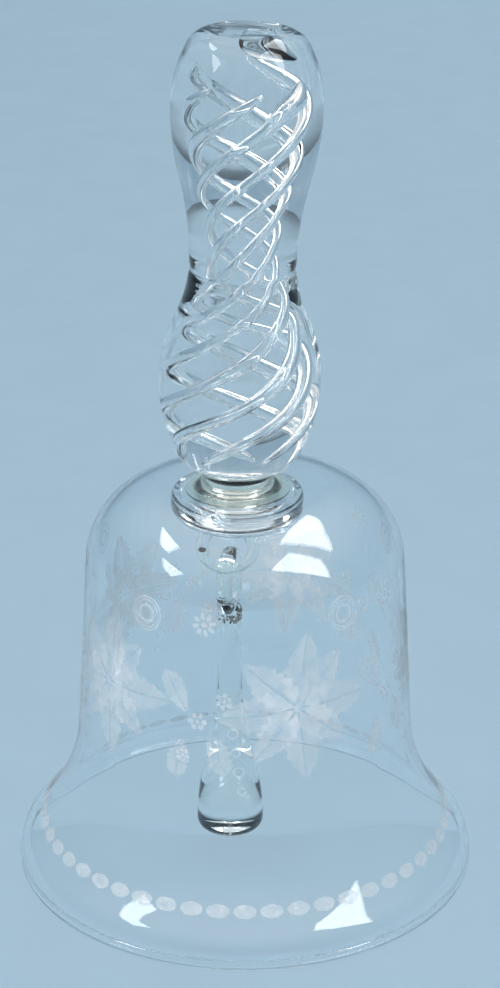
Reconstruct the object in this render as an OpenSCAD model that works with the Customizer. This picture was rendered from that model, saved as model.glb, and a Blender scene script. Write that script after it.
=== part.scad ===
// Hand bell of clear glass: a thin blown bowl with a flared lip, an air-twist handle whose
// neck passes through the crown into a thick disc, and a glass clapper that hangs from a ring
// fused under the disc. Millimetres, +Z up, origin at the centre of the rim's plane.
// The front is -Y.

/* [Bowl] */
// Diameter of the bowl at its rim
rim_d = 140; // [116:1:168]
// Height of the crown's flat top above the rim's plane
crown_h = 122.5; // [102:0.5:147]
// Diameter at the narrowest place above the flare
waist_d = 101; // [85:0.5:121]
// Height at which the flare starts
flare_h = 49.5; // [42:0.5:60]
// Lean of the waist towards the crown, in degrees
waist_lean = 3.5; // [1:0.1:5]
// Radius of the rounded shoulder
shoulder_r = 24; // [18:0.5:30]
// Thickness of the blown wall
wall = 2; // [1.4:0.1:2.6]
// Thickness of the bead along the rim
rim_bead_d = 3; // [2.6:0.1:4]
// Width of the flat that is ground on the rim's underside
rim_flat = 1.8; // [1:0.1:2.2]
// Radius of the rim's outward curl
curl_r = 12.5; // [8:0.5:16]

/* [Handle] */
// Diameter of the handle's head
head_d = 42.6; // [36:0.2:51]
// Distance from the top down to the head's widest place
head_drop = 21; // [18:0.5:25]
// Rise from the handle's waist to the head's widest place
head_rise = 45; // [38:0.5:54]
// Radius of the dome that leads to the head's upper edge
dome_r = 36; // [30:1:42]
// Radius of the head's upper edge
top_edge_r = 8; // [6:0.5:10]
// Diameter of the handle's waist
grip_d = 30.6; // [25.4:0.2:36.8]
// Rise from the bulge's widest place to the handle's waist
grip_rise = 35; // [29:0.5:42]
// Diameter of the bulge at the handle's base
bulge_d = 47; // [39:0.5:56.5]
// Rise from the handle's base to the bulge's widest place
bulge_rise = 26; // [21.5:0.5:31.5]
// Diameter of the neck below the bulge
neck_d = 19.6; // [16.4:0.2:23.6]
// Length of the neck that shows above the crown
neck_show = 7.5; // [6:0.5:9]
// Distance of the neck from the bowl's axis, to the left
neck_shift = 2.2; // [0:0.1:3]
// Lean of the handle to the right, in degrees
handle_lean = 1.5; // [0:0.1:2]

/* [Air twist] */
// Number of air threads
thread_count = 5; // [3:1:7]
// Width of one air thread
thread_w = 3; // [2.4:0.1:3.6]
// Rise of a thread in one full turn
thread_pitch = 54; // [45:1:65]
// Glass round the twisted core in the head
casing_head_t = 9.3; // [7.8:0.1:11.2]
// Glass round the twisted core at the handle's waist
casing_grip_t = 7.1; // [6:0.1:8]
// Glass round the twisted core in the bulge
casing_bulge_t = 5; // [4.2:0.1:6]
// Glass round the twisted core at its lower end
casing_foot_t = 8.5; // [8:0.1:10.2]
// Solid glass above the twisted core
cap_t = 7; // [5:0.5:9]

/* [Disc and ring] */
// Diameter of the disc under the crown
disc_d = 39; // [33:0.5:46]
// Thickness of the disc
disc_t = 8; // [7:0.5:10]
// Thickness of the cement between the disc and the crown
cement_t = 0.5; // [0.3:0.1:0.8]
// Width and height of the cement fillet round the neck
collar_w = 3.4; // [2:0.1:4.4]
// Thickness of the hanger ring
ring_t = 3.8; // [3.1:0.1:4.6]
// Play of the clapper's loop in the hanger ring's hole, all round
ring_play = 3.2; // [2.5:0.1:4]
// Distance of the hanger ring from the neck's axis, to the left
ring_offset = 2.9; // [0:0.1:4]

/* [Clapper] */
// Thickness of the clapper's loop
loop_t = 4.8; // [4:0.1:5.8]
// Play of the hanger ring in the loop, to each side
loop_play = 1; // [0.8:0.1:1.6]
// Straight length of the clapper's loop
loop_leg = 5.4; // [4:0.1:7]
// Turn of the loop about the clapper's axis, in degrees
loop_turn = 14; // [0:1:15]
// Distance of the clapper from the hanger ring's middle, to the right
ring_aside = 0.5; // [0:0.1:0.6]
// Diameter of the clapper's rod
rod_d = 7.2; // [6:0.1:8.6]
// Plain stretch of the rod above its swell
rod_plain = 17.3; // [14.3:0.1:20.8]
// Diameter of the drop at the clapper's end
drop_d = 20.4; // [17:0.2:24.6]
// Height of the drop's underside above the rim's plane
drop_clear = 7.5; // [4:0.5:14]
// Running gap between the loop and the ring
run_gap = 0.55; // [0.45:0.05:0.65]

/* [Hidden] */
$fn = 96;
seam = 0.05;                  // gap between fused layers of glass
far = 400;                    // larger than the bell in every direction
lap = 0.01;                   // stacked slabs of an outline reach this far into each other

// Bowl: the flare and the rim's curl are tangent arcs, the waist is a straight line that
// leaves the flare where the flare leans as much as the waist does, and the shoulder is an
// arc between the waist and the crown.
rim_r = rim_d / 2;
waist_r = waist_d / 2;
bead_r = rim_bead_d / 2;
bead_z = sqrt(bead_r ^ 2 - (rim_flat / 2) ^ 2);  // the bead's centre above its ground flat
flare_out = rim_r - waist_r;
flare_dz = flare_h - bead_z;
arc_sum = (flare_out ^ 2 + flare_dz ^ 2) / (2 * flare_out);
flare_r = arc_sum - curl_r;
flare_c = [waist_r + flare_r, flare_h];
curl_c = [rim_r - curl_r, bead_z];
curl_angle = atan2(flare_c.y - curl_c.y, flare_c.x - curl_c.x);
lean_foot = flare_c - flare_r * [cos(waist_lean), sin(waist_lean)];
shoulder_z = crown_h - shoulder_r;
shoulder_c = [lean_foot.x - (shoulder_z - lean_foot.y) * tan(waist_lean)
              - shoulder_r / cos(waist_lean), shoulder_z];

// Handle
head_r = head_d / 2;
grip_r = grip_d / 2;
bulge_r = bulge_d / 2;
neck_r = neck_d / 2;
base_h = crown_h + neck_show;           // underside of the bulge
bulge_h = base_h + bulge_rise;          // the bulge's widest place
grip_h = bulge_h + grip_rise;           // the handle's waist
head_h = grip_h + head_rise;            // the head's widest place
total_h = head_h + head_drop;           // the flat top
base_arc = 50;                          // arc of the bulge's underside
base_edge_r = 4;                        // rounding under the bulge
core_top = total_h - cap_t;
casing_floor = 3;                       // glass round the neck under the twisted core
collar_edge = 0.3;                      // thickness of the cement at the fillet's edges
core_bottom = base_h + casing_floor;
neck_top = core_bottom - neck_r * sin(handle_lean) - seam;
core_head_r = head_r - casing_head_t;
core_grip_r = grip_r - casing_grip_t;
core_bulge_r = bulge_r - casing_bulge_t;
core_foot_r = bulge_r - casing_foot_t;
core_lands = 6;                         // points of the core's outline for each flute
core_rings = 72;                        // outlines along the core

// Disc and ring
disc_top = crown_h - wall - cement_t;
disc_bottom = disc_top - disc_t;
socket_floor = 2.5;                     // glass left under the neck's socket
socket_r = neck_r + seam;
neck_edge_r = 3;                        // rounding under the neck
socket_gap = 0.2;                       // gap between the neck and the socket's floor
neck_bottom = disc_bottom + socket_floor + socket_gap;
ring_r = ring_t / 2;
ring_pad = 1;                           // width of the ring's fused foot round its tube
loop_r = loop_t / 2;
ring_path_r = loop_r + ring_play + ring_r;
ring_z = disc_bottom - ring_path_r - ring_r;

// Clapper, built below its pivot
clapper_x = ring_aside - neck_shift - ring_offset;
loop_path_r = ring_r + run_gap + loop_play + loop_r;
pivot_z = ring_z - sqrt(ring_path_r ^ 2 - ring_aside ^ 2);
loop_top_z = pivot_z - loop_play;       // centre of the loop's upper bend
loop_low_z = loop_top_z - loop_leg;     // centre of the loop's lower bend
palm_t = 0.72 * loop_r;                 // depth of the joint's face below the bend's middle
bead_top = loop_low_z - loop_path_r - palm_t;
bead_t = 3;                             // height of the grainy joint
rod_r = rod_d / 2;
bead_end_r = rod_r + 0.2;               // radius of the joint's ends
rod_top = bead_top - bead_t;
drop_r = drop_d / 2;
drop_edge_r = 4;                        // rounding under the drop
drop_h = drop_clear + drop_edge_r;      // height of the drop's widest place
swell_h = rod_top - rod_plain;          // height at which the rod starts to swell

// Slab of the half plane between two heights, out to a radius
module slab(r, z0, z1) {
    translate([0, z0 - lap]) square([r, z1 - z0 + lap]);
}

// Slab whose edge bulges outwards: widest at height zc
module convex_slab(r, arc_r, zc, z0, z1) {
    intersection() {
        translate([r - arc_r, zc]) circle(r = arc_r, $fn = 360);
        slab(r, z0, z1);
    }
    slab(max(r - arc_r, lap), z0, z1);
}

// Slab whose edge is hollowed inwards: narrowest at height zc
module hollow_slab(r, arc_r, zc, z0, z1) {
    difference() {
        slab(r + arc_r / 2, z0, z1);
        translate([r + arc_r, zc]) circle(r = arc_r, $fn = 360);
    }
}

// Leans the handle about the neck's axis where it meets the handle's base
module leaned() {
    translate([-neck_shift, 0, base_h]) rotate([0, handle_lean, 0])
        translate([0, 0, -base_h]) children();
}

// Solid outline of the bell, set in from its outer surface by a wall's thickness
module bell_outline(inset) {
    curl_top = flare_c - (flare_r + inset) * [cos(curl_angle), sin(curl_angle)];
    foot = lean_foot - inset * [cos(waist_lean), sin(waist_lean)];
    neck = shoulder_c + (shoulder_r - inset) * [cos(waist_lean), sin(waist_lean)];
    convex_slab(rim_r - inset, curl_r - inset, bead_z, bead_z, curl_top.y);
    hollow_slab(waist_r - inset, flare_r + inset, flare_h, curl_top.y, foot.y);
    polygon([[0, foot.y - lap], foot - [0, lap], neck, [0, neck.y]]);
    convex_slab(shoulder_c.x + shoulder_r - inset, shoulder_r - inset, shoulder_z,
                neck.y, crown_h - inset);
}

// Centre of the arc that rounds the edge between a large arc and a flat end. The large arc is
// widest, out to a radius, at a distance from the end.
function edge_c(r, arc_r, distance, edge_r) =
    r - arc_r + sqrt((arc_r - edge_r) ^ 2 - (distance - edge_r) ^ 2);

// Sum of the radii of two tangent arcs that lead from one radius to another over a height
function s_sum(dr, dz) = (dr ^ 2 + dz ^ 2) / (2 * abs(dr));

// Height where the arc of the wide end meets the arc of the narrow end
function s_split(wide_z, narrow_z, wide_arc, sum) =
    wide_z + (narrow_z - wide_z) * wide_arc / sum;

// Solid outline of a spindle: head, waist and bulge joined by tangent arcs
module spindle(head, grip, bulge, top, bottom) {
    head_sum = s_sum(head - grip, head_rise);
    head_arc = head_sum * 0.46;
    head_split = s_split(head_h, grip_h, head_arc, head_sum);
    bulge_sum = s_sum(bulge - grip, grip_rise);
    bulge_arc = bulge_sum * 0.53;
    bulge_split = s_split(bulge_h, grip_h, bulge_arc, bulge_sum);
    convex_slab(head, dome_r, head_h, head_h, top);
    convex_slab(head, head_arc, head_h, head_split, head_h);
    hollow_slab(grip, head_sum - head_arc, grip_h, grip_h, head_split);
    hollow_slab(grip, bulge_sum - bulge_arc, grip_h, bulge_split, grip_h);
    convex_slab(bulge, bulge_arc, bulge_h, bulge_h, bulge_split);
    convex_slab(bulge, base_arc, bulge_h, bottom, bulge_h);
}

// Radius of the twisted core at a height, as a smooth run through its driving sizes
function ease(t) = (1 - cos(180 * min(1, max(0, t)))) / 2;
function mix(a, b, t) = a + (b - a) * ease(t);
function core_r(z) =
    z > head_h ? core_head_r
    : z > grip_h ? mix(core_grip_r, core_head_r, (z - grip_h) / head_rise)
    : z > bulge_h ? mix(core_bulge_r, core_grip_r, (z - bulge_h) / grip_rise)
    : mix(core_foot_r, core_bulge_r, (z - core_bottom) / (bulge_h - core_bottom));

// Outline of the cavity that the casing closes over the core
function core_profile(gap) = [
    [0, core_bottom],
    for (i = [0:48]) let (z = core_bottom + (core_top - core_bottom) * i / 48)
        [core_r(z) + gap, z],
    [0, core_top]];

module bell_bowl() {
    color([0.80, 0.90, 0.94, 0.35]) difference() {
        rotate_extrude($fn = 180) {
            difference() {
                translate([rim_r - bead_r, bead_z]) circle(r = bead_r);
                translate([0, -far]) square([far, far]);
            }
            difference() {
                bell_outline(0);
                bell_outline(wall);
                slab(rim_r - wall, bead_z, bead_z + lap);
            }
        }
        translate([-neck_shift, 0, crown_h - 2 * wall]) cylinder(h = 3 * wall, r = socket_r);
    }
}

module handle_casing() {
    top_c = edge_c(head_r, dome_r, total_h - head_h, top_edge_r);
    top_split = head_h + dome_r * (total_h - top_edge_r - head_h) / (dome_r - top_edge_r);
    base_c = edge_c(bulge_r, base_arc, bulge_h - base_h, base_edge_r);
    base_split = bulge_h
        - base_arc * (bulge_h - base_h - base_edge_r) / (base_arc - base_edge_r);
    color([0.88, 0.94, 0.96, 0.35]) difference() {
        leaned() rotate_extrude($fn = 180) difference() {
            intersection() {
                spindle(head_r, grip_r, bulge_r, total_h, base_h);
                union() {
                    slab(top_c, top_split, total_h);
                    translate([top_c, total_h - top_edge_r]) circle(r = top_edge_r);
                    slab(far, base_split, top_split);
                    translate([base_c, base_h + base_edge_r]) circle(r = base_edge_r);
                    slab(base_c, base_h, base_split);
                }
            }
            polygon(core_profile(seam));
        }
        translate([-neck_shift, 0, base_h - 1]) cylinder(h = casing_floor + 2, r = socket_r);
    }
}

module twist_core() {
    flutes = thread_count * core_lands;
    rows = [for (k = [0:core_rings])
        let (z = core_bottom + seam + (core_top - core_bottom - 2 * seam) * k / core_rings,
             r = core_r(z) - seam, turn = 360 * (z - core_bottom) / thread_pitch)
        for (i = [0:flutes - 1])
            let (a = 360 * i / flutes, dip = i % core_lands == 0 ? thread_w
                 : i % core_lands == 1 || i % core_lands == core_lands - 1 ? thread_w * 0.6 : 0)
            [(r - dip) * cos(a + turn), (r - dip) * sin(a + turn), z]];
    sides = [for (k = [0:core_rings - 1]) for (i = [0:flutes - 1])
        let (a = k * flutes + i, b = k * flutes + (i + 1) % flutes)
        each [[a, a + flutes, b], [b, a + flutes, b + flutes]]];
    lid = core_rings * flutes;
    color([0.93, 0.96, 0.97, 0.5]) leaned()
        polyhedron(points = rows, faces = concat(
            [[for (i = [0:flutes - 1]) i]], sides,
            [[for (i = [flutes - 1:-1:0]) lid + i]]));
}

module handle_neck() {
    color([0.90, 0.94, 0.95, 0.5]) translate([-neck_shift, 0, 0]) rotate_extrude() {
        slab(neck_r, neck_bottom + neck_edge_r, neck_top);
        slab(neck_r - neck_edge_r, neck_bottom + lap, neck_bottom + neck_edge_r);
        translate([neck_r - neck_edge_r, neck_bottom + neck_edge_r]) circle(r = neck_edge_r);
    }
}

module neck_cement() {
    color([0.80, 0.78, 0.52, 0.7]) translate([-neck_shift, 0, crown_h]) rotate_extrude()
        translate([socket_r, 0]) difference() {
            square(collar_w);
            translate([collar_w, collar_w]) circle(r = collar_w - collar_edge);
        }
}

module crown_disc() {
    edge_r = disc_t / 2;
    color([0.86, 0.92, 0.92, 0.4]) translate([-neck_shift, 0, 0]) rotate_extrude() difference() {
        union() {
            slab(disc_d / 2 - edge_r, disc_bottom + lap, disc_top);
            translate([disc_d / 2 - edge_r, disc_bottom + edge_r]) circle(r = edge_r);
        }
        slab(socket_r, disc_bottom + socket_floor, disc_top + 1);
    }
}

module disc_cement() {
    color([0.80, 0.78, 0.52, 0.7]) translate([-neck_shift, 0, disc_top]) rotate_extrude()
        translate([socket_r, 0]) square([disc_d / 2 - disc_t / 2 - socket_r, cement_t]);
}

module hanger_ring() {
    color([0.86, 0.92, 0.94, 0.5]) translate([-neck_shift - ring_offset, 0, ring_z]) {
        rotate([90, 0, 0]) rotate_extrude() translate([ring_path_r, 0]) circle(r = ring_r);
        translate([0, 0, ring_path_r]) cylinder(h = ring_r, r = ring_r + ring_pad);
    }
}

module clapper_eye() {
    color([0.90, 0.94, 0.95, 0.5]) translate([clapper_x, 0, 0]) difference() {
        rotate([0, 0, -loop_turn]) {
            translate([0, 0, loop_top_z]) rotate([90, 0, 90])
                rotate_extrude(angle = 180) translate([loop_path_r, 0]) circle(r = loop_r);
            translate([0, 0, loop_low_z]) rotate([90, 180, 90])
                rotate_extrude(angle = 180) translate([loop_path_r, 0]) circle(r = loop_r);
            for (side = [-1, 1]) translate([0, side * loop_path_r, loop_low_z])
                cylinder(h = loop_leg, r = loop_r);
            translate([0, 0, bead_top - loop_r]) cylinder(h = loop_r + palm_t + 1, r = bead_end_r);
        }
        translate([0, 0, bead_top - 2 * loop_r]) cylinder(h = 2 * loop_r, r = 3 * bead_end_r);
    }
}

module clapper_bead() {
    color([0.30, 0.27, 0.24]) translate([clapper_x, 0, rod_top]) rotate_extrude()
        intersection() {
            slab(far, lap, bead_t);
            translate([0, bead_t / 2]) circle(r = sqrt(bead_end_r ^ 2 + (bead_t / 2) ^ 2));
        }
}

module clapper_rod() {
    swell_sum = s_sum(drop_r - rod_r, swell_h - drop_h);
    drop_arc = swell_sum * 0.36;
    split = s_split(drop_h, swell_h, drop_arc, swell_sum);
    color([0.90, 0.94, 0.95, 0.5]) translate([clapper_x, 0, 0]) rotate_extrude() {
        slab(rod_r, swell_h, rod_top);
        hollow_slab(rod_r, swell_sum - drop_arc, swell_h, split, swell_h);
        convex_slab(drop_r, drop_arc, drop_h, drop_h, split);
        slab(drop_r - drop_edge_r, drop_clear + lap, drop_h);
        intersection() {
            translate([drop_r - drop_edge_r, drop_h]) circle(r = drop_edge_r);
            slab(drop_r, drop_clear, drop_h);
        }
    }
}

bell_bowl();
handle_casing();
twist_core();
handle_neck();
neck_cement();
crown_disc();
disc_cement();
hanger_ring();
clapper_eye();
clapper_bead();
clapper_rod();
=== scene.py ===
import math
import random

import bpy
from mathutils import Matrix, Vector


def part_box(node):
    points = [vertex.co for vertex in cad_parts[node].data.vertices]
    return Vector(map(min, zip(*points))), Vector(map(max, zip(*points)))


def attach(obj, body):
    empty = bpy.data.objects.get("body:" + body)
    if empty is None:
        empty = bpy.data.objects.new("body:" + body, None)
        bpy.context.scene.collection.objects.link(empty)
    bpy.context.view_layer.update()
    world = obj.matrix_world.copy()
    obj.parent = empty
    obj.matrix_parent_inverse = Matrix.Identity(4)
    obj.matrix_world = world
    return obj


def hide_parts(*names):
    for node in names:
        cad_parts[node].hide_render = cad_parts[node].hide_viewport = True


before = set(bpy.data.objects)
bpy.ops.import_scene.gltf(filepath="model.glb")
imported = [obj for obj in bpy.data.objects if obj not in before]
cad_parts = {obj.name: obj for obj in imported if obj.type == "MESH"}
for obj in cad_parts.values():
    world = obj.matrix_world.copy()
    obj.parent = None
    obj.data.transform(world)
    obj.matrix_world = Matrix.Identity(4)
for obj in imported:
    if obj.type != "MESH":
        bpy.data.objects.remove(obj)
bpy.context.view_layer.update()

mm = 0.001
nearby = 0.1 * mm      # slack when vertices are picked by their place
print("frame loaded:", len(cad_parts), "nodes")


# helpers: selection, lathe work and finishing

def deselectAll():
    bpy.ops.object.select_all(action="DESELECT")


def pick(obj):
    deselectAll()
    obj.select_set(True)
    bpy.context.view_layer.objects.active = obj


def applyModifier(obj, kind, **settings):
    pick(obj)
    modifier = obj.modifiers.new(kind.title(), kind)
    for key, value in settings.items():
        setattr(modifier, key, value)
    bpy.ops.object.modifier_apply(modifier=modifier.name)


def spinProfile(name, points, steps):
    # points are (radius, height); a vertex is drawn along them and spun once round Z
    deselectAll()
    bpy.ops.mesh.primitive_plane_add(size=mm)
    obj = bpy.context.object
    obj.name = name
    bpy.ops.object.mode_set(mode="EDIT")
    bpy.ops.mesh.select_mode(type="VERT")
    bpy.ops.mesh.select_all(action="SELECT")
    bpy.ops.mesh.merge(type="CENTER")
    bpy.ops.transform.translate(value=(points[0][0], 0, points[0][1]))
    for before, after in zip(points, points[1:]):
        step = (after[0] - before[0], 0, after[1] - before[1])
        bpy.ops.mesh.extrude_region_move(TRANSFORM_OT_translate={"value": step})
    bpy.ops.mesh.select_all(action="SELECT")
    bpy.ops.mesh.spin(steps=steps, angle=math.tau, center=(0, 0, 0), axis=(0, 0, 1))
    bpy.ops.mesh.select_all(action="SELECT")
    bpy.ops.mesh.remove_doubles(threshold=0.004 * mm)
    bpy.ops.mesh.normals_make_consistent(inside=False)
    bpy.ops.object.mode_set(mode="OBJECT")
    return obj


def moveMesh(obj, offset):
    pick(obj)
    bpy.ops.transform.translate(value=offset)
    bpy.ops.object.transform_apply(location=True, rotation=True, scale=True)


def joinObjects(first, others):
    deselectAll()
    for obj in [first, *others]:
        obj.select_set(True)
    bpy.context.view_layer.objects.active = first
    bpy.ops.object.join()
    return first


def settle(obj, name, body, material, nodes=(), sharp=60):
    obj.name = name
    obj.data.name = name
    pick(obj)
    bpy.ops.object.transform_apply(location=True, rotation=True, scale=True)
    bpy.ops.object.shade_smooth_by_angle(angle=math.radians(sharp))
    obj.data.materials.clear()
    obj.data.materials.append(material)
    obj.visible_shadow = False        # clear glass hardly darkens what stands behind it
    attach(obj, body)
    if nodes:
        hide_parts(*nodes)
    print("piece", name, len(obj.data.polygons), "faces")


# outlines

def arcPoints(centre, radius, start, end, count):
    points = []
    for i in range(count + 1):
        angle = math.radians(start + (end - start) * i / count)
        points.append((centre[0] + radius * math.cos(angle), centre[1] + radius * math.sin(angle)))
    return points


def sweepRadius(z, wide, narrow, share):
    # radius at height z of two tangent arcs from wide to narrow, each given as (radius, height)
    rise = abs(narrow[1] - wide[1])
    drop = wide[0] - narrow[0]
    total = (drop ** 2 + rise ** 2) / (2 * drop)
    wideArc = total * share
    away = abs(z - wide[1])
    if away <= rise * share:
        return wide[0] - wideArc + math.sqrt(wideArc ** 2 - away ** 2)
    narrowArc = total - wideArc
    return narrow[0] + narrowArc - math.sqrt(narrowArc ** 2 - max(0, rise - away) ** 2)


# materials

def newMaterial(name):
    material = bpy.data.materials.new(name)
    material.use_nodes = True
    nodes = material.node_tree.nodes
    return material, nodes, material.node_tree.links, nodes["Principled BSDF"]


def objectNoise(nodes, links, scale, detail, stretch=(1, 1, 1)):
    coords = nodes.new("ShaderNodeTexCoord")
    mapping = nodes.new("ShaderNodeMapping")
    mapping.inputs["Scale"].default_value = stretch
    noise = nodes.new("ShaderNodeTexNoise")
    noise.inputs["Scale"].default_value = scale
    noise.inputs["Detail"].default_value = detail
    links.new(coords.outputs["Object"], mapping.inputs["Vector"])
    links.new(mapping.outputs["Vector"], noise.inputs["Vector"])
    return noise.outputs["Fac"]


def rangeOf(nodes, links, source, low, high, fromLow=0.3, fromHigh=0.7):
    node = nodes.new("ShaderNodeMapRange")
    node.inputs["From Min"].default_value = fromLow
    node.inputs["From Max"].default_value = fromHigh
    node.inputs["To Min"].default_value = low
    node.inputs["To Max"].default_value = high
    links.new(source, node.inputs["Value"])
    return node.outputs["Result"]


def addBump(nodes, links, shader, height, strength, distance):
    bump = nodes.new("ShaderNodeBump")
    bump.inputs["Strength"].default_value = strength
    bump.inputs["Distance"].default_value = distance
    links.new(height, bump.inputs["Height"])
    links.new(bump.outputs["Normal"], shader.inputs["Normal"])


def rampOf(nodes, links, source, dark, light, darkPlace=0.0, lightPlace=1.0):
    ramp = nodes.new("ShaderNodeValToRGB")
    for element, place, colour in zip(ramp.color_ramp.elements, (darkPlace, lightPlace), (dark, light)):
        element.position = place
        element.color = (*colour, 1)
    links.new(source, ramp.inputs["Fac"])
    return ramp.outputs["Color"]


glassSet = {"ior": 1.5, "smearShare": 0.6, "smearRoughness": 0.03,
            "bowl": {"tint": (0.97, 0.99, 1.0), "ripple": 40, "depth": 0.05 * mm, "stretch": (1, 1, 0.5)},
            "handle": {"tint": (0.98, 0.99, 0.99), "ripple": 90, "depth": 0.03 * mm, "stretch": (1, 1, 1)},
            "clapper": {"tint": (0.96, 0.99, 0.97), "ripple": 120, "depth": 0.05 * mm, "stretch": (1, 1, 1)}}


def clearGlass(name, tint, ripple, depth, stretch):
    # almost even glass: faint smears dull it a little and a slow ripple bends what shows through
    material, nodes, links, shader = newMaterial(name)
    shader.inputs["Base Color"].default_value = (*tint, 1)
    shader.inputs["Transmission Weight"].default_value = 1
    shader.inputs["IOR"].default_value = glassSet["ior"]
    smear = objectNoise(nodes, links, ripple * glassSet["smearShare"], 3)
    roughness = rangeOf(nodes, links, smear, 0.0, glassSet["smearRoughness"], 0.45, 0.8)
    links.new(roughness, shader.inputs["Roughness"])
    addBump(nodes, links, shader, objectNoise(nodes, links, ripple, 1, stretch), 1.0, depth)
    return material


bowlGlass = clearGlass("BowlGlass", **glassSet["bowl"])
handleGlass = clearGlass("HandleGlass", **glassSet["handle"])
clapperGlass = clearGlass("ClapperGlass", **glassSet["clapper"])
print("glass ready")


# camera

cameraSet = {"distance": 668.6 * mm, "height": 405.1 * mm, "pitch": 23.15, "lens": 90.05,
             "sensor": 36, "shift": 0.00506, "near": 0.01, "far": 50}


def makeCamera():
    data = bpy.data.cameras.new("Camera")
    camera = bpy.data.objects.new("Camera", data)
    bpy.context.scene.collection.objects.link(camera)
    camera.location = (0, -cameraSet["distance"], cameraSet["height"])
    camera.rotation_euler = (math.radians(90 - cameraSet["pitch"]), 0, 0)
    data.lens = cameraSet["lens"]
    data.sensor_width = cameraSet["sensor"]
    data.shift_x = cameraSet["shift"]
    data.clip_start = cameraSet["near"]
    data.clip_end = cameraSet["far"]
    bpy.context.scene.camera = camera


makeCamera()
print("camera in place")

# the bowl

bowlSet = {"wall": 2.0 * mm, "waistRadius": 50.5 * mm, "flareTop": 49.5 * mm, "curl": 12.5 * mm,
           "lean": 3.5, "shoulder": 24.0 * mm, "bead": 1.5 * mm, "flat": 1.8 * mm,
           "holeGap": 0.05 * mm, "curlEnd": 9, "beadStart": 118, "steps": 144}
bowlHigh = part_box("bell_bowl")[1]
neckLow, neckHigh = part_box("handle_neck")
rimRadius, crownTop = bowlHigh[0], bowlHigh[2]
neckRadius = neckHigh[1]
neckX = (neckLow[0] + neckHigh[0]) / 2
holeRadius = neckRadius + bowlSet["holeGap"]


def bowlArcs():
    s = bowlSet
    beadZ = math.sqrt(s["bead"] ** 2 - (s["flat"] / 2) ** 2)
    out, up = rimRadius - s["waistRadius"], s["flareTop"] - beadZ
    flare = (out ** 2 + up ** 2) / (2 * out) - s["curl"]
    flareC = (s["waistRadius"] + flare, s["flareTop"])
    curlC = (rimRadius - s["curl"], beadZ)
    turn = math.degrees(math.atan2(flareC[1] - curlC[1], flareC[0] - curlC[0]))
    lean = math.radians(s["lean"])
    foot = (flareC[0] - flare * math.cos(lean), flareC[1] - flare * math.sin(lean))
    shoulderZ = crownTop - s["shoulder"]
    shoulderX = foot[0] - (shoulderZ - foot[1]) * math.tan(lean) - s["shoulder"] / math.cos(lean)
    return beadZ, flare, flareC, curlC, turn, (shoulderX, shoulderZ)


def bowlRadius(z, inset=0.0):
    # radius of the bowl's outer surface at height z, or of its inner one with the wall as inset
    s = bowlSet
    beadZ, flare, flareC, curlC, turn, shoulderC = bowlArcs()
    a, b = math.radians(turn), math.radians(s["lean"])
    curlTop = flareC[1] - (flare + inset) * math.sin(a)
    footX = flareC[0] - (flare + inset) * math.cos(b)
    footZ = flareC[1] - (flare + inset) * math.sin(b)
    topX = shoulderC[0] + (s["shoulder"] - inset) * math.cos(b)
    topZ = shoulderC[1] + (s["shoulder"] - inset) * math.sin(b)
    if z < curlTop:
        return curlC[0] + math.sqrt((s["curl"] - inset) ** 2 - (z - beadZ) ** 2)
    if z < footZ:
        return flareC[0] - math.sqrt((flare + inset) ** 2 - (z - flareC[1]) ** 2)
    if z < topZ:
        return footX + (topX - footX) * (z - footZ) / (topZ - footZ)
    return shoulderC[0] + math.sqrt(max(0, (s["shoulder"] - inset) ** 2 - (z - shoulderC[1]) ** 2))


def makeBowl():
    s = bowlSet
    wall = s["wall"]
    beadZ, flare, flareC, curlC, turn, shoulderC = bowlArcs()
    beadC = (rimRadius - s["bead"], beadZ)
    foot = math.degrees(math.asin(beadZ / s["bead"]))
    points = arcPoints(beadC, s["bead"], -foot, 0, 6)
    points += arcPoints(curlC, s["curl"], 0, turn, 14)[1:]
    points += arcPoints(flareC, flare, 180 + turn, 180 + s["lean"], 26)[1:]
    points += arcPoints(shoulderC, s["shoulder"], s["lean"], 90, 20)
    points += [(holeRadius, crownTop), (holeRadius, crownTop - wall)]
    points += arcPoints(shoulderC, s["shoulder"] - wall, 90, s["lean"], 20)
    points += arcPoints(flareC, flare + wall, 180 + s["lean"], 180 + turn, 26)
    points += arcPoints(curlC, s["curl"] - wall, turn, s["curlEnd"], 12)[1:]
    points += arcPoints(beadC, s["bead"], s["beadStart"], 180 + foot, 10)
    points.append(points[0])
    bowl = spinProfile("bowl", points, s["steps"])
    for v in bowl.data.vertices:      # the hole in the crown lies where the neck does
        if math.hypot(v.co.x, v.co.y) < holeRadius + nearby:
            v.co.x += neckX
    settle(bowl, "blown_bowl", "bell", bowlGlass, ["bell_bowl"])


makeBowl()

# the handle with its neck and disc: one run of glass with the air threads as cavities in it

handleSet = {"neckShow": 7.5 * mm, "bulgeRise": 26 * mm, "gripRise": 35 * mm, "headRise": 45 * mm,
             "headDrop": 21 * mm, "domeRadius": 36 * mm, "topEdge": 8 * mm, "gripRadius": 15.3 * mm,
             "headRadius": 21.3 * mm, "baseArc": 50 * mm, "baseEdge": 4 * mm,
             "creaseDrop": 2 * mm, "creaseDepth": 0.45 * mm, "lean": 1.5, "discTopEdge": 2.2 * mm,
             "discLowEdge": 5 * mm, "neckFillet": 1 * mm, "baseFillet": 2 * mm, "creaseWidth": 1.3 * mm,
             "headShare": 0.46, "bulgeShare": 0.53, "blendStart": 1 * mm, "rings": 150, "steps": 128}
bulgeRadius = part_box("handle_casing")[1][1]
handleBase = crownTop + handleSet["neckShow"]
bulgeHeight = handleBase + handleSet["bulgeRise"]
gripHeight = bulgeHeight + handleSet["gripRise"]
headHeight = gripHeight + handleSet["headRise"]
handleTop = headHeight + handleSet["headDrop"]


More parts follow.
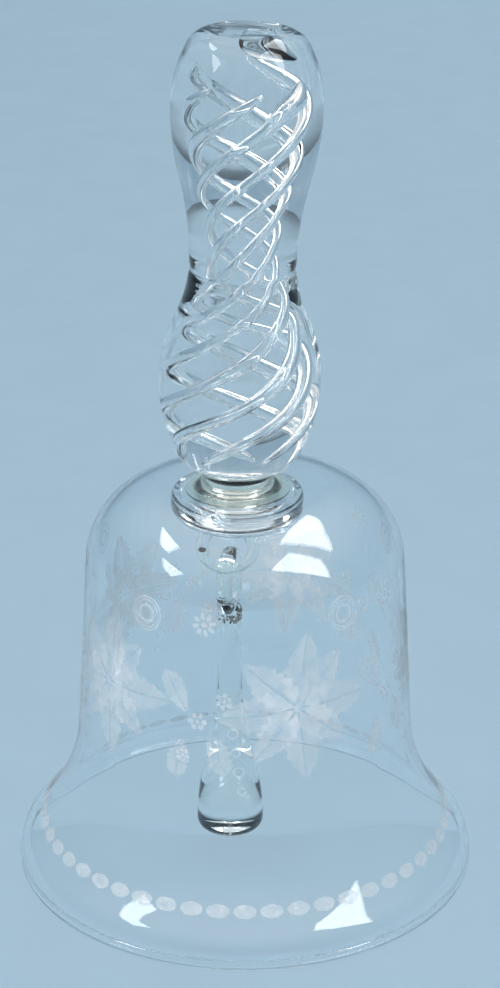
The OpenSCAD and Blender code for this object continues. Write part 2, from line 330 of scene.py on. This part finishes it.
def handleRadius(z):
    s = handleSet
    head, bulge = (s["headRadius"], headHeight), (bulgeRadius, bulgeHeight)
    grip, dome, base = (s["gripRadius"], gripHeight), s["domeRadius"], s["baseArc"]
    if z > headHeight:
        return s["headRadius"] - dome + math.sqrt(dome ** 2 - (z - headHeight) ** 2)
    if z > gripHeight:
        radius = sweepRadius(z, head, grip, s["headShare"])
    elif z > bulgeHeight:
        radius = sweepRadius(z, bulge, grip, s["bulgeShare"])
    else:
        radius = bulgeRadius - base + math.sqrt(base ** 2 - (z - bulgeHeight) ** 2)
    crease = math.exp(-((z - gripHeight + s["creaseDrop"]) / s["creaseWidth"]) ** 2)
    return radius - s["creaseDepth"] * crease


def edgeRound(widest, arc, distance, edge):
    # centre radius of the rounded edge and the angle at which it leaves the large arc
    reach = math.sqrt((arc - edge) ** 2 - (distance - edge) ** 2)
    return widest - arc + reach, math.degrees(math.atan2(distance - edge, reach))


def makeHandleBody():
    s = handleSet
    topX, topAngle = edgeRound(s["headRadius"], s["domeRadius"], s["headDrop"], s["topEdge"])
    baseX, baseAngle = edgeRound(bulgeRadius, s["baseArc"], bulgeHeight - handleBase, s["baseEdge"])
    topSplit = headHeight + s["domeRadius"] * math.sin(math.radians(topAngle))
    baseSplit = bulgeHeight - s["baseArc"] * math.sin(math.radians(baseAngle))
    points = [(0, handleTop)]
    points += arcPoints((topX, handleTop - s["topEdge"]), s["topEdge"], 90, topAngle, 12)
    for i in range(1, s["rings"] + 1):
        z = topSplit + (baseSplit - topSplit) * i / s["rings"]
        points.append((handleRadius(z), z))
    points += arcPoints((baseX, handleBase + s["baseEdge"]), s["baseEdge"], -baseAngle, -90, 10)[1:]
    upper, lower = s["baseFillet"], s["neckFillet"]
    discLow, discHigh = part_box("crown_disc")
    discRadius, lowEdge, topEdge = discHigh[1], s["discLowEdge"], s["discTopEdge"]
    points += arcPoints((neckRadius + upper, handleBase - upper), upper, 90, 180, 6)
    points += arcPoints((neckRadius + lower, discHigh[2] + lower), lower, 180, 270, 5)
    points += arcPoints((discRadius - topEdge, discHigh[2] - topEdge), topEdge, 90, 0, 8)
    points += arcPoints((discRadius - lowEdge, discLow[2] + lowEdge), lowEdge, 0, -90, 14)
    points.append((0, discLow[2]))
    return spinProfile("handle", points, s["steps"])


threadSet = {"count": 5, "pitch": 54 * mm, "bottom": 133.5 * mm, "top": 246 * mm, "stations": 130,
             "sides": 18, "widthShare": 0.24, "depthShare": 0.13, "frontHeight": 217.3 * mm,
             "swollenThread": 4, "swellHeight": 238.5 * mm, "swellWidth": 5 * mm, "endSwell": 1.2,
             "wander": 0.03, "wanderLength": 9 * mm, "wave": 0.08, "waveLength": 5 * mm,
             "ripple": 0.05, "rippleLength": 2.1 * mm, "lowTaper": 7 * mm, "topTaper": 5 * mm,
             "tip": 0.06, "seed": 11, "topShift": (-5, 3), "bottomShift": (0, 2),
             "swellRange": (0.88, 1.12), "turnShift": (-4, 4),
             "path": [(133, 10.0), (147, 13.8), (168, 10.4), (188, 6.3), (203, 6.2), (222, 9.0),
                      (236, 10.6), (248, 9.6)]}


def threadPath(z):
    # distance of an air thread's middle from the axis: a smooth run through the path's points
    path = [(height * mm, radius * mm) for height, radius in threadSet["path"]]
    i = max(k for k in range(len(path) - 1) if z >= path[k][0] or k == 0)
    slopes = []
    for k in (i, i + 1):
        low, high = path[max(0, k - 1)], path[min(len(path) - 1, k + 1)]
        slopes.append((high[1] - low[1]) / (high[0] - low[0]))
    span = path[i + 1][0] - path[i][0]
    t = min(1.0, max(0.0, (z - path[i][0]) / span))
    start = (2 * t ** 3 - 3 * t ** 2 + 1) * path[i][1] + (t ** 3 - 2 * t ** 2 + t) * span * slopes[0]
    return start + (3 * t ** 2 - 2 * t ** 3) * path[i + 1][1] + (t ** 3 - t ** 2) * span * slopes[1]


def makeThread(index, rng):
    # a straight upright tube of flattened rings; the twist comes after all are in place
    t = threadSet
    swollen = t["endSwell"] if index == t["swollenThread"] else 0.0
    top = t["top"] + rng.uniform(*t["topShift"]) * mm
    bottom = t["bottom"] + rng.uniform(*t["bottomShift"]) * mm
    phase = rng.uniform(0, math.tau)
    swell = rng.uniform(*t["swellRange"])

    def ringAt(z):
        x = threadPath(z)
        wander = 1 + t["wander"] * math.sin(z / t["wanderLength"] + phase)
        size = swell * (1 + t["wave"] * math.sin(z / t["waveLength"] + 2 * phase)
                        + t["ripple"] * math.sin(z / t["rippleLength"]))
        size *= min(1, math.sqrt(max(0.0, (z - bottom) / t["lowTaper"])) + t["tip"],
                    math.sqrt(max(0.0, (top - z) / t["topTaper"])) + t["tip"])
        size *= 1 + swollen * math.exp(-((z - t["swellHeight"]) / t["swellWidth"]) ** 2)
        return x * wander, x * t["depthShare"] * size, x * t["widthShare"] * size

    x, deep, wide = ringAt(bottom)
    deselectAll()
    bpy.ops.mesh.primitive_circle_add(vertices=t["sides"], radius=1, fill_type="NGON",
                                      location=(x, 0, bottom))
    tube = bpy.context.object
    tube.scale = (deep, wide, 1)
    bpy.ops.object.transform_apply(location=True, rotation=True, scale=True)
    bpy.ops.object.mode_set(mode="EDIT")
    bpy.ops.mesh.select_mode(type="FACE")
    bpy.ops.mesh.select_all(action="SELECT")
    z = bottom
    for i in range(1, t["stations"] + 1):
        nextZ = bottom + (top - bottom) * i / t["stations"]
        nextX, nextDeep, nextWide = ringAt(nextZ)
        bpy.ops.mesh.extrude_region_move(TRANSFORM_OT_translate={"value": (nextX - x, 0, nextZ - z)})
        bpy.ops.transform.resize(value=(nextDeep / deep, nextWide / wide, 1),
                                 center_override=(nextX, 0, nextZ))
        x, deep, wide, z = nextX, nextDeep, nextWide, nextZ
    bpy.ops.mesh.select_all(action="SELECT")
    bpy.ops.mesh.normals_make_consistent(inside=False)
    bpy.ops.object.mode_set(mode="OBJECT")
    startTurn = 270 - 360 * t["frontHeight"] / t["pitch"] + 360 * index / t["count"]
    tube.rotation_euler = (0, 0, math.radians(startTurn + rng.uniform(*t["turnShift"])))
    bpy.ops.object.transform_apply(location=True, rotation=True, scale=True)
    return tube


bubbleSet = {"narrowing": 0.35,
             "bubbles": [{"middle": (-12.6, -3.9, 136.5), "size": (1.3, 1.1, 4.2), "tilt": 12},
                         {"middle": (4.0, -3.0, 249.3), "size": (6.5, 4.0, 0.8), "tilt": 7}]}


def makeBubble(middle, size, tilt):
    # a pointed bubble of air, in millimetres from the handle's axis
    deselectAll()
    bpy.ops.mesh.primitive_uv_sphere_add(segments=28, ring_count=20, radius=1)
    bubble = bpy.context.object
    for v in bubble.data.vertices:
        narrow = 1 - bubbleSet["narrowing"] * max(0.0, v.co.z)
        v.co.x *= narrow
        v.co.y *= narrow
    bubble.scale = [length * mm for length in size]
    bubble.rotation_euler = (0, math.radians(tilt), 0)
    bubble.location = [distance * mm for distance in middle]
    bpy.ops.object.transform_apply(location=True, rotation=True, scale=True)
    return bubble


def leanHandle(obj):
    # the glass above the neck leans a little to the right, and all of it sits over the neck
    lean = math.radians(handleSet["lean"])
    blendStart = crownTop + handleSet["blendStart"]
    for v in obj.data.vertices:
        share = min(1.0, max(0.0, (v.co.z - blendStart) / (handleBase - blendStart)))
        angle = lean * share
        rise, x = v.co.z - handleBase, v.co.x
        v.co.x = neckX + x * math.cos(angle) + rise * math.sin(angle)
        v.co.z = handleBase + rise * math.cos(angle) - x * math.sin(angle)


def makeHandle():
    rng = random.Random(threadSet["seed"])
    tubes = [makeThread(i, rng) for i in range(threadSet["count"])]
    threads = joinObjects(tubes[0], tubes[1:])
    heights = [v.co.z for v in threads.data.vertices]
    extent = max(heights) - min(heights)
    applyModifier(threads, "SIMPLE_DEFORM", deform_method="TWIST", deform_axis="Z",
                  angle=math.tau * extent / threadSet["pitch"])
    threads = joinObjects(threads, [makeBubble(**b) for b in bubbleSet["bubbles"]])
    pick(threads)
    bpy.ops.object.mode_set(mode="EDIT")
    bpy.ops.mesh.select_all(action="SELECT")
    bpy.ops.mesh.flip_normals()      # a cavity's wall faces into the cavity
    bpy.ops.object.mode_set(mode="OBJECT")
    body = makeHandleBody()
    handle = joinObjects(body, [threads])
    leanHandle(handle)
    settle(handle, "twist_handle", "bell", handleGlass,
           ["handle_casing", "twist_core", "handle_neck", "crown_disc"])


makeHandle()

# the cement

cementSet = {"colour": (0.97, 0.97, 0.86), "ior": 1.48, "grain": 300, "roughness": 0.1,
             "bump": 0.06 * mm, "gap": 0.03 * mm, "hollow": 0.92, "steps": 96}


def cementMaterial():
    material, nodes, links, shader = newMaterial("YellowedCement")
    shader.inputs["Base Color"].default_value = (*cementSet["colour"], 1)
    shader.inputs["Transmission Weight"].default_value = 1
    shader.inputs["IOR"].default_value = cementSet["ior"]
    grain = objectNoise(nodes, links, cementSet["grain"], 4)
    links.new(rangeOf(nodes, links, grain, 0.0, cementSet["roughness"]), shader.inputs["Roughness"])
    addBump(nodes, links, shader, grain, 0.4, cementSet["bump"])
    return material


cement = cementMaterial()


def makeCement():
    # a hollow fillet round the neck on the crown, and a thin film between crown and disc
    low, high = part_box("neck_cement")
    width, bottom = high[1] - holeRadius, low[2] + cementSet["gap"]
    points = [(holeRadius, bottom), (high[1], bottom)]
    points += arcPoints((high[1], high[2]), width * cementSet["hollow"], -90, -180, 8)
    points += [(holeRadius, high[2]), (holeRadius, bottom)]
    collar = spinProfile("collar", points, cementSet["steps"])
    moveMesh(collar, (neckX, 0, 0))
    settle(collar, "cement_collar", "bell", cement, ["neck_cement"])
    low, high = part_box("disc_cement")
    inner = neckRadius + handleSet["neckFillet"]
    bottom, top = low[2] + cementSet["gap"], high[2] - cementSet["gap"]
    points = [(inner, bottom), (high[1], bottom), (high[1], top), (inner, top), (inner, bottom)]
    film = spinProfile("film", points, cementSet["steps"])
    moveMesh(film, (neckX, 0, 0))
    settle(film, "cement_film", "bell", cement, ["disc_cement"], sharp=35)


makeCement()

# the hanger ring and the clapper

ringSet = {"major": 80, "minor": 32, "thickness": 3.8 * mm, "footSides": 48}


def makeRing():
    low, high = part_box("hanger_ring")
    centreX = (low[0] + high[0]) / 2
    outer = (high[0] - low[0]) / 2
    tube = ringSet["thickness"] / 2
    deselectAll()
    bpy.ops.mesh.primitive_torus_add(major_radius=outer - tube, minor_radius=tube,
                                     major_segments=ringSet["major"], minor_segments=ringSet["minor"],
                                     location=(centreX, 0, low[2] + outer),
                                     rotation=(math.radians(90), 0, 0))
    ring = bpy.context.object
    bpy.ops.object.transform_apply(location=True, rotation=True, scale=True)
    deselectAll()
    bpy.ops.mesh.primitive_cylinder_add(vertices=ringSet["footSides"], radius=high[1], depth=tube,
                                        location=(centreX, 0, high[2] - tube / 2))
    foot = bpy.context.object
    applyModifier(ring, "BOOLEAN", operation="UNION", solver="EXACT", object=foot)
    bpy.data.objects.remove(foot, do_unlink=True)
    settle(ring, "hanging_ring", "bell", clapperGlass, ["hanger_ring"], sharp=40)


makeRing()

stoneSet = {"angle": 185, "radius": 0.85 * mm, "forward": 0.2, "rough": (0.82, 1.05), "seed": 5,
            "dark": (0.003, 0.003, 0.003), "light": (0.012, 0.011, 0.009), "speck": 900,
            "roughness": 0.6}


def makeRingStone():
    # a dark grain caught in the left of the ring
    low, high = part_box("hanger_ring")
    s = stoneSet
    tube = ringSet["thickness"] / 2
    path = (high[0] - low[0]) / 2 - tube
    angle = math.radians(s["angle"])
    middle = Vector(((low[0] + high[0]) / 2 + path * math.cos(angle), -s["forward"] * tube,
                     low[2] + path + tube + path * math.sin(angle)))
    deselectAll()
    bpy.ops.mesh.primitive_ico_sphere_add(subdivisions=3, radius=s["radius"], location=middle)
    stone = bpy.context.object
    rng = random.Random(s["seed"])
    for v in stone.data.vertices:
        v.co = v.co * rng.uniform(*s["rough"])
    material, nodes, links, shader = newMaterial("DarkGrain")
    shade = objectNoise(nodes, links, s["speck"], 3)
    links.new(rampOf(nodes, links, shade, s["dark"], s["light"]), shader.inputs["Base Color"])
    shader.inputs["Roughness"].default_value = s["roughness"]
    settle(stone, "dark_grain", "bell", material)


makeRingStone()

clapperSet = {"loopThickness": 4.8 * mm, "leg": 5.4 * mm, "loopTurn": 14, "major": 80, "minor": 32,
              "palmRadius": 3.8 * mm, "palmRise": 2.73 * mm, "palmSteps": ((0.5 * mm, 0.99), (1.4 * mm, 1)),
              "rodRadius": 3.6 * mm, "rodEnd": 0.4 * mm, "dropEdge": 4 * mm, "swellRise": 50 * mm,
              "swellShare": 0.36, "rings": 60, "steps": 96}
eyeLow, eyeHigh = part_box("clapper_eye")
rodLow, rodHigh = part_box("clapper_rod")
clapperX = (rodLow[0] + rodHigh[0]) / 2


def makeLoop():
    # a long closed loop, turned a little about the clapper's axis
    s = clapperSet
    tube = s["loopThickness"] / 2
    turn = math.radians(s["loopTurn"])
    path = (eyeHigh[1] - tube) / math.cos(turn)
    bendZ = eyeHigh[2] - path - tube
    deselectAll()
    bpy.ops.mesh.primitive_torus_add(major_radius=path, minor_radius=tube, major_segments=s["major"],
                                     minor_segments=s["minor"], location=(0, 0, bendZ),
                                     rotation=(0, math.radians(90), 0))
    loop = bpy.context.object
    bpy.ops.object.transform_apply(location=True, rotation=True, scale=True)
    for v in loop.data.vertices:      # the lower half goes down to make the straight legs
        if v.co.z < bendZ - nearby:
            v.co.z -= s["leg"]
    loop.rotation_euler = (0, 0, -turn)
    bpy.ops.object.transform_apply(location=True, rotation=True, scale=True)
    return loop


def makeClapper():
    # rod and drop, fused to the loop through the round joint
    s = clapperSet
    low, high = rodLow, rodHigh
    dropRadius = (high[0] - low[0]) / 2
    dropHeight = low[2] + s["dropEdge"]
    beadTop = eyeLow[2]
    points = [(0, low[2])]
    points += arcPoints((dropRadius - s["dropEdge"], dropHeight), s["dropEdge"], -90, 0, 12)
    for i in range(1, s["rings"] + 1):
        z = dropHeight + s["swellRise"] * i / s["rings"]
        points.append((sweepRadius(z, (dropRadius, dropHeight),
                                   (s["rodRadius"], dropHeight + s["swellRise"]), s["swellShare"]), z))
    palm, rise = s["palmRadius"], s["palmRise"]
    points.append((s["rodRadius"], high[2] - s["rodEnd"]))
    points += [(palm * share, high[2] + above) for above, share in s["palmSteps"]]
    points += arcPoints((palm - rise, beadTop), rise, 0, 80, 8)
    points.append((0, beadTop + rise))
    rod = spinProfile("rod", points, s["steps"])
    loop = makeLoop()
    applyModifier(rod, "BOOLEAN", operation="UNION", solver="EXACT", object=loop)
    bpy.data.objects.remove(loop, do_unlink=True)
    rod.location = (clapperX, 0, 0)
    settle(rod, "clapper_drop", "clapper", clapperGlass,
           ["clapper_eye", "clapper_rod"], sharp=40)


makeClapper()

grainSet = {"count": 120, "small": 0.14 * mm, "large": 0.42 * mm, "thickest": -50, "spread": 60,
            "inset": 0.1 * mm, "rough": (0.65, 1.0), "sinking": 1.6, "seed": 3,
            "dark": (0.02, 0.022, 0.018), "light": (0.22, 0.23, 0.18), "darkPlace": 0.4,
            "lightPlace": 0.7, "speck": 900, "roughness": 0.55}


def grainyMaterial():
    s = grainSet
    material, nodes, links, shader = newMaterial("GrainyJoint")
    speck = objectNoise(nodes, links, s["speck"], 3)
    colour = rampOf(nodes, links, speck, s["dark"], s["light"], s["darkPlace"], s["lightPlace"])
    links.new(colour, shader.inputs["Base Color"])
    shader.inputs["Roughness"].default_value = s["roughness"]
    return material


def makeGrains():
    # dark grains of frit caught in the joint, thickest low down and at the right
    low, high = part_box("clapper_bead")
    s = grainSet
    rng = random.Random(s["seed"])
    reach = clapperSet["palmRadius"] - s["large"] - s["inset"]
    grains = []
    for i in range(s["count"]):
        deselectAll()
        size = rng.uniform(s["small"], s["large"])
        bpy.ops.mesh.primitive_ico_sphere_add(subdivisions=1, radius=size)
        grain = bpy.context.object
        for v in grain.data.vertices:
            v.co = v.co * rng.uniform(*s["rough"])
        angle = math.radians(s["thickest"] + rng.gauss(0, s["spread"]))
        radius = reach * rng.uniform(0.2, 1.0) ** 0.5
        rise = s["large"] + (high[2] - low[2] - 2 * s["large"]) * rng.random() ** s["sinking"]
        grain.location = (clapperX + radius * math.cos(angle), radius * math.sin(angle), low[2] + rise)
        grains.append(grain)
    joint = joinObjects(grains[0], grains[1:])
    settle(joint, "grainy_joint", "clapper", grainyMaterial(), ["clapper_bead"])


makeGrains()

# the wheel engraving: flat shapes laid out on the unrolled wall, then wrapped round the bowl

engravingSet = {"lift": 0.06 * mm, "thickness": 0.05 * mm, "ovals": 50, "ovalHeight": 15.0 * mm,
                "ovalLength": 5.4 * mm, "ovalWidth": 3.3 * mm, "sprays": 5, "firstSpray": -54,
                "unrollRadius": 49.5 * mm, "leafLength": 24 * mm, "leafWidth": 13 * mm, "teeth": 7,
                "rib": 0.25 * mm, "leafStart": 0.4 * mm, "leafTip": 0.05 * mm, "notch": 0.72,
                "frost": (0.90, 0.93, 0.95), "roughness": 0.75, "grit": 2500, "gritDepth": 0.05 * mm,
                "leafFrost": {"low": 0.05, "high": 0.22, "scale": 260, "stretch": (1, 1, 0.5)},
                "ovalFrost": {"low": 0.12, "high": 0.28, "scale": 500, "stretch": (1, 1, 1)},
                "rosette": {"petals": 8, "reach": 2.6 * mm, "length": 2.2 * mm, "width": 1.5 * mm},
                "blossom": {"petals": 6, "reach": 2.0 * mm, "length": 1.7 * mm, "width": 1.7 * mm},
                "curl": [(5.2 * mm, 0.5 * mm), (4.2 * mm, 0.4 * mm), (2.9 * mm, 0.9 * mm)],
                "link": (1.7 * mm, 0.45 * mm)}
# what one spray holds, each as (degrees from the spray's middle, height in mm, turn, size)
spraySet = {"leaves": [(0, 73, -8, 0.95), (0, 73, 48, 0.9), (0, 73, 96, 1.0), (0, 73, 140, 0.85),
                       (0, 73, 186, 0.95), (0, 73, 230, 0.8), (0, 73, 272, 1.0), (0, 73, 318, 0.85),
                       (-24, 52, 20, 0.6), (26, 84, -150, 0.6), (30, 50, -10, 0.55)],
            "curls": [(18, 99, 0, 1.0)],
            "rosettes": [(-32, 99, 10, 1.0)],
            "blossoms": [(38, 69, 0, 1.0), (47, 76, 20, 0.9), (33, 58, 40, 0.8)],
            "chain": [(-22, 66, 0, 1.0), (-21, 60, 0, 0.8), (-20, 54, 0, 1.0), (-19, 48, 0, 0.8)]}


def frostMaterial(name, low, high, scale, stretch):
    # ground glass: a white bloom that thins out in streaks
    material, nodes, links, shader = newMaterial(name)
    shader.inputs["Base Color"].default_value = (*engravingSet["frost"], 1)
    shader.inputs["Roughness"].default_value = engravingSet["roughness"]
    streak = objectNoise(nodes, links, scale, 5, stretch)
    links.new(rangeOf(nodes, links, streak, low, high), shader.inputs["Alpha"])
    grit = objectNoise(nodes, links, engravingSet["grit"], 2)
    addBump(nodes, links, shader, grit, 0.5, engravingSet["gritDepth"])
    return material


leafFrost = frostMaterial("LeafFrost", **engravingSet["leafFrost"])
ovalFrost = frostMaterial("OvalFrost", **engravingSet["ovalFrost"])


def makeHalfLeaf(length, width, teeth):
    # half a leaf blade beside its rib: an edge carried up the rib, wide and narrow by turns
    rows = teeth * 2
    s = engravingSet
    rib, wide = s["rib"], s["leafStart"]
    deselectAll()
    bpy.ops.mesh.primitive_plane_add(size=1, location=(0.5, 0.5, 0))
    leaf = bpy.context.object
    bpy.ops.object.transform_apply(location=True, rotation=False, scale=False)
    leaf.scale = (wide, length / rows, 1)
    leaf.location = (rib, 0, 0)
    bpy.ops.object.transform_apply(location=True, rotation=False, scale=True)
    for v in leaf.data.vertices:
        v.select = v.co.y > length / rows / 2
    for e in leaf.data.edges:
        e.select = all(leaf.data.vertices[k].select for k in e.vertices)
    for f in leaf.data.polygons:
        f.select = False
    bpy.ops.object.mode_set(mode="EDIT")
    bpy.ops.mesh.select_mode(type="EDGE")
    for i in range(2, rows + 1):
        t = i / rows
        tooth = 1.0 if i % 2 else s["notch"]
        nextWide = width / 2 * math.sin(math.pi * t ** 0.8) ** 0.8 * tooth + s["leafTip"]
        bpy.ops.mesh.extrude_region_move(TRANSFORM_OT_translate={"value": (0, length / rows, 0)})
        bpy.ops.transform.resize(value=(nextWide / wide, 1, 1), center_override=(rib, 0, 0))
        wide = nextWide
    bpy.ops.mesh.select_all(action="SELECT")
    bpy.ops.mesh.subdivide(number_cuts=1)
    bpy.ops.object.mode_set(mode="OBJECT")
    return leaf


def makeLeaf(length, width, teeth):
    leaf = makeHalfLeaf(length, width, teeth)
    applyModifier(leaf, "MIRROR", use_axis=(True, False, False), use_mirror_merge=False)
    return leaf


def makeDiscShape(length, width, sides):
    deselectAll()
    bpy.ops.mesh.primitive_circle_add(vertices=sides, radius=0.5, fill_type="TRIFAN")
    shape = bpy.context.object
    shape.scale = (length, width, 1)
    bpy.ops.object.transform_apply(location=False, rotation=False, scale=True)
    return shape


def makeBand(radius, width, sides):
    # a flat ring
    deselectAll()
    bpy.ops.mesh.primitive_circle_add(vertices=sides, radius=radius, fill_type="NOTHING")
    shape = bpy.context.object
    bpy.ops.object.mode_set(mode="EDIT")
    bpy.ops.mesh.select_all(action="SELECT")
    bpy.ops.mesh.extrude_region_move(TRANSFORM_OT_translate={"value": (0, 0, 0)})
    bpy.ops.transform.resize(value=(1 - width / radius,) * 2 + (1,), center_override=(0, 0, 0))
    bpy.ops.object.mode_set(mode="OBJECT")
    return shape


def makeRosette(petals, reach, length, width):
    # oval petals round a small centre
    petal = makeDiscShape(length, width, 12)
    moveMesh(petal, (reach, 0, 0))
    bpy.ops.object.mode_set(mode="EDIT")
    bpy.ops.mesh.select_all(action="SELECT")
    bpy.ops.mesh.spin(steps=petals, dupli=True, angle=math.tau, center=(0, 0, 0), axis=(0, 0, 1))
    bpy.ops.object.mode_set(mode="OBJECT")
    centre = makeDiscShape(reach * 0.7, reach * 0.7, 12)
    return joinObjects(petal, [centre])


def layCopies(shape, places):
    # each place is (azimuth in degrees, height in mm, turn in degrees, size)
    copies = []
    for azimuth, height, turn, size in places:
        copy = shape.copy()
        copy.data = shape.data.copy()
        bpy.context.scene.collection.objects.link(copy)
        copy.location = (math.radians(azimuth) * engravingSet["unrollRadius"], height * mm, 0)
        copy.rotation_euler = (0, 0, math.radians(turn))
        copy.scale = (size, size, 1)
        copies.append(copy)
    bpy.data.objects.remove(shape, do_unlink=True)
    return copies


def wrapOnBowl(parts, name, material):
    sheet = joinObjects(parts[0], parts[1:])
    bpy.ops.object.transform_apply(location=True, rotation=True, scale=True)
    for v in sheet.data.vertices:
        angle, z = v.co.x / engravingSet["unrollRadius"], v.co.y
        radius = bowlRadius(z) + engravingSet["lift"]
        v.co = (radius * math.sin(angle), -radius * math.cos(angle), z)
    applyModifier(sheet, "SOLIDIFY", thickness=engravingSet["thickness"], offset=0)
    settle(sheet, name, "bell", material)


def onEverySpray(places):
    step = 360 / engravingSet["sprays"]
    return [(engravingSet["firstSpray"] + i * step + away, height, turn, size)
            for i in range(engravingSet["sprays"]) for away, height, turn, size in places]


def makeEngraving():
    s = engravingSet
    step = 360 / s["ovals"]
    oval = makeDiscShape(s["ovalLength"], s["ovalWidth"], 16)
    band = layCopies(oval, [(i * step, s["ovalHeight"] / mm, 0, 1) for i in range(s["ovals"])])
    wrapOnBowl(band, "engraved_oval_band", ovalFrost)
    leaf = makeLeaf(s["leafLength"], s["leafWidth"], s["teeth"])
    wrapOnBowl(layCopies(leaf, onEverySpray(spraySet["leaves"])), "engraved_leaves", leafFrost)
    parts = layCopies(makeRosette(**s["rosette"]), onEverySpray(spraySet["rosettes"]))
    parts += layCopies(makeRosette(**s["blossom"]), onEverySpray(spraySet["blossoms"]))
    for radius, width in s["curl"]:
        parts += layCopies(makeBand(radius, width, 28), onEverySpray(spraySet["curls"]))
    parts += layCopies(makeBand(*s["link"], 16), onEverySpray(spraySet["chain"]))
    wrapOnBowl(parts, "engraved_flowers", ovalFrost)


makeEngraving()

# stage and light

floorSet = {"colour": (0.38, 0.55, 0.68), "size": 12, "paper": 30, "paperDepth": 0.04, "roughness": 0.8}


def makeStage():
    deselectAll()
    bpy.ops.mesh.primitive_plane_add(size=floorSet["size"], location=(0, 0, 0))
    floor = bpy.context.object
    floor.name = "floor"
    material, nodes, links, shader = newMaterial("Floor")
    paper = objectNoise(nodes, links, floorSet["paper"], 4)
    dark, light = ([value * share for value in floorSet["colour"]]
                   for share in (1 - floorSet["paperDepth"], 1 + floorSet["paperDepth"]))
    links.new(rampOf(nodes, links, paper, dark, light), shader.inputs["Base Color"])
    shader.inputs["Roughness"].default_value = floorSet["roughness"]
    floor.data.materials.append(material)


worldSet = {"low": (0.22, 0.34, 0.44), "middle": (0.30, 0.43, 0.53), "high": (1.0, 1.0, 1.0),
            "lowPlace": 0.02, "middlePlace": 0.4, "highPlace": 0.85, "room": (0.08, 0.055, 0.04),
            "frontRange": (-0.95, -0.6), "underRange": (0.25, 0.5), "strength": 1.0}


def makeWorld():
    # a soft dome: bright overhead, dim at the horizon, with the dark of the room in front
    s = worldSet
    world = bpy.data.worlds.new("World")
    bpy.context.scene.world = world
    world.use_nodes = True
    nodes, links = world.node_tree.nodes, world.node_tree.links
    background = nodes["Background"]
    coords = nodes.new("ShaderNodeTexCoord")
    split = nodes.new("ShaderNodeSeparateXYZ")
    sky = rampOf(nodes, links, split.outputs["Z"], s["low"], s["high"], s["lowPlace"], s["highPlace"])
    sky.node.color_ramp.elements.new(s["middlePlace"]).color = (*s["middle"], 1)
    links.new(coords.outputs["Generated"], split.inputs["Vector"])
    front = rangeOf(nodes, links, split.outputs["Y"], 1, 0, *s["frontRange"])
    under = rangeOf(nodes, links, split.outputs["Z"], 1, 0, *s["underRange"])
    both = nodes.new("ShaderNodeMath")
    both.operation = "MULTIPLY"
    links.new(front, both.inputs[0])
    links.new(under, both.inputs[1])
    mix = nodes.new("ShaderNodeMix")
    mix.data_type = "RGBA"
    links.new(both.outputs["Value"], mix.inputs["Factor"])
    links.new(sky, mix.inputs["A"])
    mix.inputs["B"].default_value = (*s["room"], 1)
    links.new(mix.outputs["Result"], background.inputs["Color"])
    background.inputs["Strength"].default_value = s["strength"]
    world.cycles_visibility.diffuse = False      # matt surfaces are lit by the soft lights alone


lightSet = {"ceiling": {"location": (0, 0, 3), "width": 4, "radiance": 1.1},
            "front": {"location": (-0.6, -2.4, 1.6), "width": 2, "radiance": 5},
            "back": {"location": (0.6, 2.4, 1.6), "width": 2, "radiance": 1.8}}


def softLight(name, location, width, radiance):
    # a wide light for the matt surfaces, which does not show in the glass
    data = bpy.data.lights.new(name, "AREA")
    data.size = width
    data.energy = radiance * math.pi * width ** 2
    data.cycles.use_multiple_importance_sampling = False
    light = bpy.data.objects.new(name, data)
    bpy.context.scene.collection.objects.link(light)
    light.location = location
    light.rotation_euler = (-Vector(location)).to_track_quat("-Z", "Y").to_euler()
    light.visible_camera = False
    light.visible_glossy = False
    light.visible_transmission = False


paneSet = {"distance": 1.8, "eye": (0, 0, 0.1), "radiance": 7.5, "colour": (0.94, 0.98, 1),
           "cloud": 2.5, "cloudRange": (0.85, 1.1)}
paneCorners = {"right_back": ((0.24, 0.10, 0.96), (0.16, 0.74, 0.64), (0.50, 0.34, 0.79),
                              (0.72, 0.01, 0.68)),
               "right_front": ((0.27, -0.55, 0.78), (0.37, -0.14, 0.92), (0.69, -0.20, 0.70),
                               (0.84, -0.38, 0.36)),
               "left_back": ((-0.65, 0.12, 0.75), (-0.45, 0.46, 0.76), (-0.52, 0.02, 0.86),
                             (-0.66, -0.05, 0.75)),
               "left_front": ((-0.73, -0.12, 0.67), (-0.78, -0.28, 0.55), (-0.75, -0.45, 0.47),
                              (-0.63, -0.50, 0.59))}


def makePane(name, corners):
    # a bright pane that shows in the glass and lights nothing else; corners are directions
    deselectAll()
    bpy.ops.mesh.primitive_plane_add(size=1)
    pane = bpy.context.object
    pane.name = "pane_" + name
    for place, direction in zip((0, 1, 3, 2), corners):      # a plane's corners go row by row
        offset = Vector(direction).normalized() * paneSet["distance"]
        pane.data.vertices[place].co = Vector(paneSet["eye"]) + offset
    material, nodes, links, shader = newMaterial("Pane")
    cloud = objectNoise(nodes, links, paneSet["cloud"], 2)
    shader.inputs["Base Color"].default_value = (0, 0, 0, 1)
    shader.inputs["Emission Color"].default_value = (*paneSet["colour"], 1)
    low, high = (paneSet["radiance"] * share for share in paneSet["cloudRange"])
    links.new(rangeOf(nodes, links, cloud, low, high), shader.inputs["Emission Strength"])
    pane.data.materials.append(material)
    pane.visible_camera = False
    pane.visible_diffuse = False
    pane.visible_shadow = False


makeStage()
makeWorld()
for lightName, lightValues in lightSet.items():
    softLight(lightName + "Light", **lightValues)
for paneName, paneDirections in paneCorners.items():
    makePane(paneName, paneDirections)
print("stage, lights and panes in place")

scene = bpy.context.scene
bounces = 24      # light crosses many walls of glass
scene.view_settings.view_transform = "Standard"
scene.cycles.caustics_reflective = False
scene.cycles.caustics_refractive = False
scene.cycles.max_bounces = bounces
scene.cycles.transmission_bounces = bounces
scene.cycles.transparent_max_bounces = bounces
